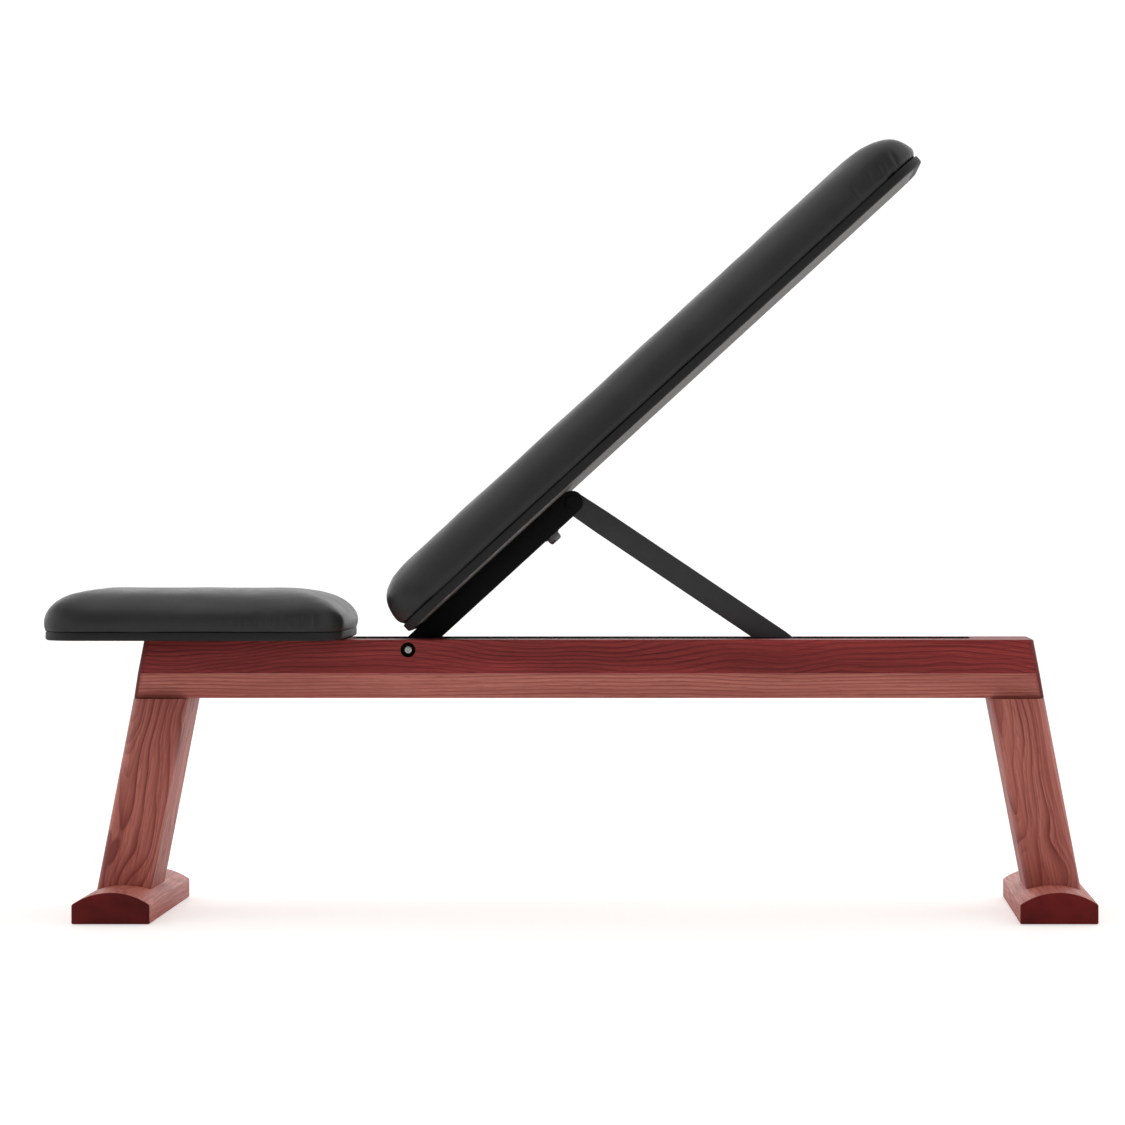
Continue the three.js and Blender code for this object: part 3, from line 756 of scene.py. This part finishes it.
def stuff(piece, bottom, grain):
    """Blows the blank up as foam under leather does, with its underside held flat on the board."""
    use(piece, "REMESH", mode="VOXEL", voxel_size=grain)
    before = [v.co.copy() for v in piece.data.vertices]
    outwards = [v.normal.copy() for v in piece.data.vertices]
    held = piece.vertex_groups.new(name="held")
    held.add([v.index for v in piece.data.vertices if v.co.z < bottom + 5 * MM], 1.0, "REPLACE")
    only(piece)
    cover = piece.modifiers.new("cover", "CLOTH")
    settings = cover.settings
    settings.use_pressure = True
    settings.uniform_pressure_force = 4
    settings.tension_stiffness = 80
    settings.compression_stiffness = 80
    settings.bending_stiffness = 5
    settings.vertex_group_mass = "held"
    settings.effector_weights.gravity = 0
    scene = bpy.context.scene
    for number in range(1, 13):
        scene.frame_set(number)
    bpy.ops.object.modifier_apply(modifier=cover.name)
    scene.frame_set(1)
    for v, old, out in zip(piece.data.vertices, before, outwards):
        moved = (v.co - old).dot(out)
        v.co = old + out * MOST_MOVED * math.tanh((moved + SWELL) / MOST_MOVED)
    piece.vertex_groups.clear()
    crown = piece.vertex_groups.new(name="crown")
    for v in piece.data.vertices:
        share = (v.co.z - bottom - CROWN_FROM) / CROWN_FROM
        crown.add([v.index], min(max(share, 0), 1), "REPLACE")
    use(piece, "SMOOTH", factor=0.5, iterations=18, vertex_group="crown")
    use(piece, "SMOOTH", factor=0.5, iterations=4)
    piece.vertex_groups.clear()
    use(piece, "SUBSURF", levels=1, render_levels=1)
    for v in piece.data.vertices:
        v.co.z = max(v.co.z, bottom)
        if v.co.z < bottom + 1.5 * MM:
            v.co.z = bottom


def wrinkle(piece, folds):
    """Presses short folds into the leather. Each has a place, a direction along it and a size."""
    for v in piece.data.vertices:
        push = 0.0
        for centre, along, length, width, depth in folds:
            offset = v.co - centre
            run = offset.dot(along)
            side = (offset - along * run).x
            if abs(run) > length or abs(side) > width * 3 or abs(offset.y) > 40 * MM:
                continue
            fade = math.cos(run / length * math.pi / 2)
            push += depth * fade * math.exp(-((side / width) ** 2))
        if push:
            v.co.y += push * (1 if v.co.y < 0 else -1)


def slack(piece, amount):
    """The slow unevenness of a hand-covered pad."""
    normals = [v.normal.copy() for v in piece.data.vertices]
    for v, normal in zip(piece.data.vertices, normals):
        wave = noise.noise(v.co * 14) + 0.5 * noise.noise(v.co * 33)
        v.co += normal * wave * amount


def board(name, start, end, bottom):
    """A board in leather, with the leather drawn round its lower edge."""
    half = PAD_WIDTH / 2
    piece = block(name, (start, -half, bottom), (end, half, bottom + BOARD))
    edit(piece)
    pick(piece, "EDGE", lambda co, e: abs(e.verts[0].co.z - e.verts[1].co.z) > BOARD / 2)
    bpy.ops.mesh.bevel(offset=PAD_CORNER, segments=14, affect="EDGES")
    for level, rounding in ((bottom, 3.4 * MM), (bottom + BOARD, 1.2 * MM)):
        pick(piece, "EDGE", lambda co, e: all(abs(v.co.z - level) < 1e-6 for v in e.verts))
        bpy.ops.mesh.bevel(offset=rounding, segments=5, affect="EDGES")
    done()
    return piece


def seat_pad():
    board_low, board_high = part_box("seat_board")
    low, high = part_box("seat_cushion")
    plate = board("seat_base", board_low.x, board_high.x, board_low.z)
    # The board's leather is darker than the cushion's as painted shade under the cushion's overhang.
    give_finish(plate, leather["board"])
    smooth(plate)
    finish_piece(plate, "frame", "board_leather", "seat_board")

    cushion = cushion_blank("seat_pad", low.x, high.x, low.z, SEAT_HEIGHT, SEAT_ENDS)
    stuff(cushion, low.z, 5 * MM)
    slack(cushion, 0.7 * MM)
    random.seed(4)
    folds = []
    for number in range(13):
        x = -0.42 + 0.0088 * number + random.uniform(-2, 2) * MM
        centre = Vector((x, -0.146, low.z + random.uniform(9, 14) * MM))
        lean = Vector((random.uniform(-0.15, 0.15), 0, 1)).normalized()
        length = random.uniform(9, 15) * MM
        folds.append((centre, lean, length, 2.1 * MM, random.uniform(1.2, 2.2) * MM))
    wrinkle(cushion, folds)
    give_finish(cushion, leather["cushion"])
    smooth(cushion, 180)
    finish_piece(cushion, "frame", "cushion_leather", "seat_cushion")


def back_pad():
    start, end = BACK_START, BACK_START + BACK_LENGTH
    plate = board("back_base", start, end, BACK_UNDERSIDE)
    raise_back(plate)
    # The board's leather is darker than the cushion's as painted shade under the cushion's overhang.
    give_finish(plate, leather["board"])
    smooth(plate)
    finish_piece(plate, "back", "board_leather", "back_board")

    bottom = BACK_UNDERSIDE + BOARD + GAP
    cushion = cushion_blank("back_pad", start - 2.5 * MM, end + 3 * MM, bottom, BACK_HEIGHT, BACK_ENDS)
    stuff(cushion, bottom, 5.2 * MM)
    slack(cushion, 0.7 * MM)
    random.seed(9)
    folds = []
    for away in (26, 38, 50, 66, 92):
        centre = Vector((end - away * MM, -0.144, bottom + (12 + random.uniform(-2, 5)) * MM))
        lean = Vector((random.uniform(0.1, 0.5), 0, 1)).normalized()
        length = random.uniform(12, 20) * MM
        folds.append((centre, lean, length, 2.6 * MM, random.uniform(1.6, 2.4) * MM))
    wrinkle(cushion, folds)
    raise_back(cushion)
    give_finish(cushion, leather["cushion"])
    smooth(cushion, 180)
    finish_piece(cushion, "back", "cushion_leather", "back_cushion")


# ---- steel ----


def bracket():
    depth = BRACKET_DEPTH / 2
    width = BRACKET_WIDTH / 2
    piece = block("bracket", (-depth, -width, -depth), (hinge_distance + depth, width, depth))
    edit(piece)
    pick(piece, "EDGE", lambda co, e: abs(e.verts[0].co.y - e.verts[1].co.y) > width)
    bpy.ops.mesh.bevel(offset=depth * 0.995, segments=14, affect="EDGES")
    done()
    inner = width - BRACKET_WALL
    hollow = depth - BRACKET_WALL
    far = hinge_distance + 0.05
    carve(piece, block("hollow", (-0.05, -inner, -hollow), (far, inner, hollow)))
    carve(piece, block("mouth", (257 * MM, -inner, -0.03), (far, inner, 0.03)))
    carve(piece, block("mouth", (242 * MM, -inner, -0.03), (far, inner, 0)))
    drill(piece, (60 * MM, 0, -0.03), (60 * MM, 0, 0), 7.5 * MM)
    soften(piece, 0.7 * MM, segments=2, angle=40)
    raise_back(piece)
    give_finish(piece, steel["black"])
    smooth(piece)
    finish_piece(piece, "back", "black_steel", "back_bracket")


def strut():
    half = STRUT_WIDTH / 2
    thick = STRUT_THICKNESS / 2
    hinge_round, foot_round, taper = 13.8 * MM, 10 * MM, 45 * MM
    piece = block("strut_bar", (-hinge_round, -thick, -half), (strut_length + foot_round, thick, half))
    edit(piece)
    slice_at((taper, 0, 0), (1, 0, 0))
    slice_at((strut_length - taper, 0, 0), (1, 0, 0))
    for end_x, rounding in ((-hinge_round, hinge_round), (strut_length + foot_round, foot_round)):
        for sign in (-1, 1):
            pick(piece, "VERT", lambda co, v: abs(co.x - end_x) < 1e-5 and co.z * sign > 0)
            bpy.ops.transform.translate(value=(0, 0, -sign * (half - rounding)))
        pick(piece, "EDGE", lambda co, e: abs(co.x - end_x) < 1e-5 and abs(co.y) < 1e-5)
        bpy.ops.mesh.bevel(offset=rounding * 0.9, segments=12, affect="EDGES")
    done()
    soften(piece, 0.8 * MM, segments=3, angle=35)
    swing_strut(piece)
    give_finish(piece, steel["grey"])
    smooth(piece)
    finish_piece(piece, "strut", "grey_steel", "strut")

    low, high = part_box("strut_foot_bar")
    pin = bar("foot_bar", (foot_bar.x, low.y, foot_bar.z), (foot_bar.x, high.y, foot_bar.z), 6 * MM)
    soften(pin, 0.6 * MM, segments=2, angle=40)
    give_finish(pin, steel["grey"])
    smooth(pin)
    finish_piece(pin, "strut", "grey_steel", "strut_foot_bar")


def socket_head(name, face, way, radius, depth, shank_end, node, body, slot):
    """A round-headed bolt with a hexagon socket, across the bench at the pivot."""
    inner = face - way * depth
    head = bar(name, (pivot.x, inner, pivot.z), (pivot.x, face, pivot.z), radius)
    edit(head)
    pick(head, "EDGE", lambda co, e: abs(co.y - face) < 1e-5 and len(e.link_faces) == 2)
    bpy.ops.mesh.bevel(offset=2.8 * MM, segments=8, affect="EDGES")
    done()
    socket_end = face - way * 3.2 * MM
    drill(head, (pivot.x, socket_end, pivot.z), (pivot.x, face + way * 0.01, pivot.z), 2.6 * MM, sides=6)
    shank = bar("shank", (pivot.x, inner, pivot.z), (pivot.x, shank_end, pivot.z), 5 * MM)
    weld(head, [shank])
    give_finish(head, steel["bright"])
    smooth(head)
    finish_piece(head, body, slot, node)


def pivot_bolts():
    low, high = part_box("pivot_bolt")
    socket_head("pivot_head", low.y, -1, 6 * MM, 5 * MM, high.y, "pivot_bolt", "frame", "bright_steel")
    low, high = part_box("pivot_sleeve_nut")
    socket_head("pivot_nut", high.y, 1, 6 * MM, 5 * MM, low.y, "pivot_sleeve_nut", "frame", "bright_steel")


def hex_bolt():
    face = -BRACKET_DEPTH / 2 - GAP
    tall = 9 * MM
    head = bar("hex_bolt", (BACK_BOLT, 0, face - tall), (BACK_BOLT, 0, face), 10 * MM, sides=6)
    edit(head)
    slice_at((0, 0, face - 5.5 * MM), (0, 0, 1))
    pick(head, "FACE", lambda co, f: f.normal.z < -0.9)
    bpy.ops.transform.resize(value=(0.82, 0.82, 1), center_override=(BACK_BOLT, 0, face - tall))
    done()
    soften(head, 0.5 * MM, segments=3, angle=20)
    washer = bar("washer", (BACK_BOLT, 0, face - 1.2 * MM), (BACK_BOLT, 0, face), 10.6 * MM)
    top = BACK_UNDERSIDE + BOARD - 1 * MM
    shank = bar("shank", (BACK_BOLT, 0, face), (BACK_BOLT, 0, top), 4 * MM, sides=32)
    soften(washer, 0.3 * MM, segments=2, angle=40)
    weld(head, [washer, shank])
    raise_back(head)
    give_finish(head, steel["plated"])
    smooth(head)
    finish_piece(head, "back", "grey_steel", "back_bolt")


def hinge_pin():
    low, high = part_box("hinge_pin")
    head = 1.8 * MM
    pin = bar("hinge_pin_round", (hinge.x, low.y + head, hinge.z), (hinge.x, high.y, hinge.z), 5 * MM)
    cap = bar("cap", (hinge.x, low.y, hinge.z), (hinge.x, low.y + head, hinge.z), 8 * MM)
    edit(cap)
    pick(cap, "EDGE", lambda co, e: all(abs(v.co.y - low.y) < 1e-5 for v in e.verts))
    bpy.ops.mesh.bevel(offset=1.2 * MM, segments=5, affect="EDGES")
    done()
    weld(pin, [cap])
    give_finish(pin, steel["black"])
    smooth(pin)
    finish_piece(pin, "back", "grey_steel", "hinge_pin")
    low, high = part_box("hinge_retaining_ring")
    ring = bar("retaining_ring", (hinge.x, low.y, hinge.z), (hinge.x, high.y, hinge.z), 8 * MM)
    drill(ring, (hinge.x, low.y - 0.01, hinge.z), (hinge.x, high.y + 0.01, hinge.z), 5.3 * MM)
    soften(ring, 0.3 * MM, segments=2, angle=40)
    give_finish(ring, steel["grey"])
    smooth(ring)
    finish_piece(ring, "back", "grey_steel", "hinge_retaining_ring")


def staples():
    """The staples that hold the liner and the leather's hem under the back."""
    border = 20 * MM
    low = (BACK_START + border, -PAD_WIDTH / 2 + border)
    high = (BACK_START + BACK_LENGTH - border, PAD_WIDTH / 2 - border)
    pieces = []
    spacing = 42 * MM
    for x in (low[0], high[0]):
        for number in range(-2, 3):
            pieces.append((x, number * spacing, 90))
    count = int((high[0] - low[0] - 2 * spacing) / spacing)
    for y in (low[1], high[1]):
        for number in range(count + 1):
            pieces.append((low[0] + spacing * (number + 1.1), y, 0))
    random.seed(2)
    made = []
    for x, y, turn in pieces:
        staple = block("staple", (-5 * MM, -0.5 * MM, -0.35 * MM), (5 * MM, 0.5 * MM, 0.25 * MM))
        staple.location = (x, y, BACK_UNDERSIDE)
        staple.rotation_euler = (0, 0, math.radians(turn + random.uniform(-8, 8)))
        settle(staple)
        made.append(staple)
    weld(made[0], made[1:])
    piece = made[0]
    piece.name = "liner_staples"
    soften(piece, 0.15 * MM, segments=1, angle=40)
    raise_back(piece)
    give_finish(piece, steel["bright"])
    finish_piece(piece, "back", "bright_steel")


def finish_cad_nodes():
    """Better finishes for the CAD pieces that stay."""
    finishes = {
        "beam_floor": wood["beam"],
        # The slot's lining is made black, a dark sheet that paints the shade down in the slot between the
        # rails.
        "slot_lining": steel["black"],
        "rack_front": steel["plated"],
        "rack_rear": steel["plated"],
        "rack_screw": steel["bright"],
        "pivot_spacer": steel["nylon"],
        "hinge_spacer": steel["nylon"],
        "pivot_bush": steel["bright"],
        "seat_bolt": steel["bright"],
        "seat_insert": steel["bright"],
        "leg_bolt": steel["bright"],
        "barrel_nut": steel["bright"],
        "back_insert": steel["bright"],
        "back_screw": steel["bright"],
        "back_liner": leather["liner"],
    }
    for name, node in nodes.items():
        for start, material in finishes.items():
            if name.startswith(start):
                node.data.materials.clear()
                node.data.materials.append(material)


# ---- the bench ----

CHERRY = (0.40, 0.048, 0.043)
CHERRY_DARK = (0.14, 0.006, 0.006)
ROSE = (0.64, 0.225, 0.175)
ROSE_DARK = (0.36, 0.062, 0.045)
SOAKED = (0.14, 0.008, 0.007)
wood = {
    "beam": ash("ash_beam", (0, 0, 0), CHERRY, CHERRY_DARK, 170.0, 6.5, 0.31, bold=(0.4, 1.0)),
    "band": ash("ash_band", (0, 0, 0), ROSE, ROSE_DARK, 250.0, 2.4, 1.7, bold=(0.3, 0.8)),
    "foot": ash("ash_foot", (0, 0, math.radians(90)), ROSE, ROSE_DARK, 150.0, 2.4, 2.2, bold=(0.1, 0.6)),
    "end": end_grain("ash_end", (0.13, 0.0075, 0.007)),
    # bore: painted shade, a near-black brown for the inside of the pivot's counterbore.
    "bore": powder_coat("bore_painted_shade", (0.016, 0.007, 0.005), 0.6, level=0.1),
}
for end_name, way in (("seat", -1), ("head", 1)):
    turn = (0, -math.radians(90) + way * leg_lean, 0)
    name = "ash_leg_" + end_name
    wood["leg_" + end_name] = ash(name, turn, ROSE, ROSE_DARK, 60.0, 6.5, 3.1 + way * 0.4, bold=(0.5, 1.0))
leather = {
    "cushion": hide("black_leather", (0.021, 0.021, 0.0205), 0.37, crease=1.0),
    # The board's leather is the cushion's leather made about three times darker: painted shade under the
    # cushion's overhang.
    "board": hide("board_leather", (0.007, 0.007, 0.0068), 0.52),
    "liner": cloth("liner_cloth", (0.125, 0.120, 0.108)),
}
steel = {
    "black": powder_coat("black_powder_coat", (0.003, 0.003, 0.003), 0.6, level=0.15),
    "grey": powder_coat("grey_powder_coat", (0.034, 0.034, 0.0345), 0.45),
    "plated": bare_steel("plated_steel", (0.20, 0.20, 0.205), 0.42),
    "bright": bare_steel("bright_steel", (0.62, 0.62, 0.61), 0.24),
    "nylon": moulded("black_nylon", (0.012, 0.012, 0.012)),
}

set_camera()
set_studio()
for side_name, side in (("front", -1), ("rear", 1)):
    rail(side_name, side)
beam_blocks()
for end_name in ("seat", "head"):
    leg(end_name, foot(end_name))
seat_pad()
back_pad()
bracket()
strut()
pivot_bolts()
hex_bolt()
hinge_pin()
staples()
finish_cad_nodes()
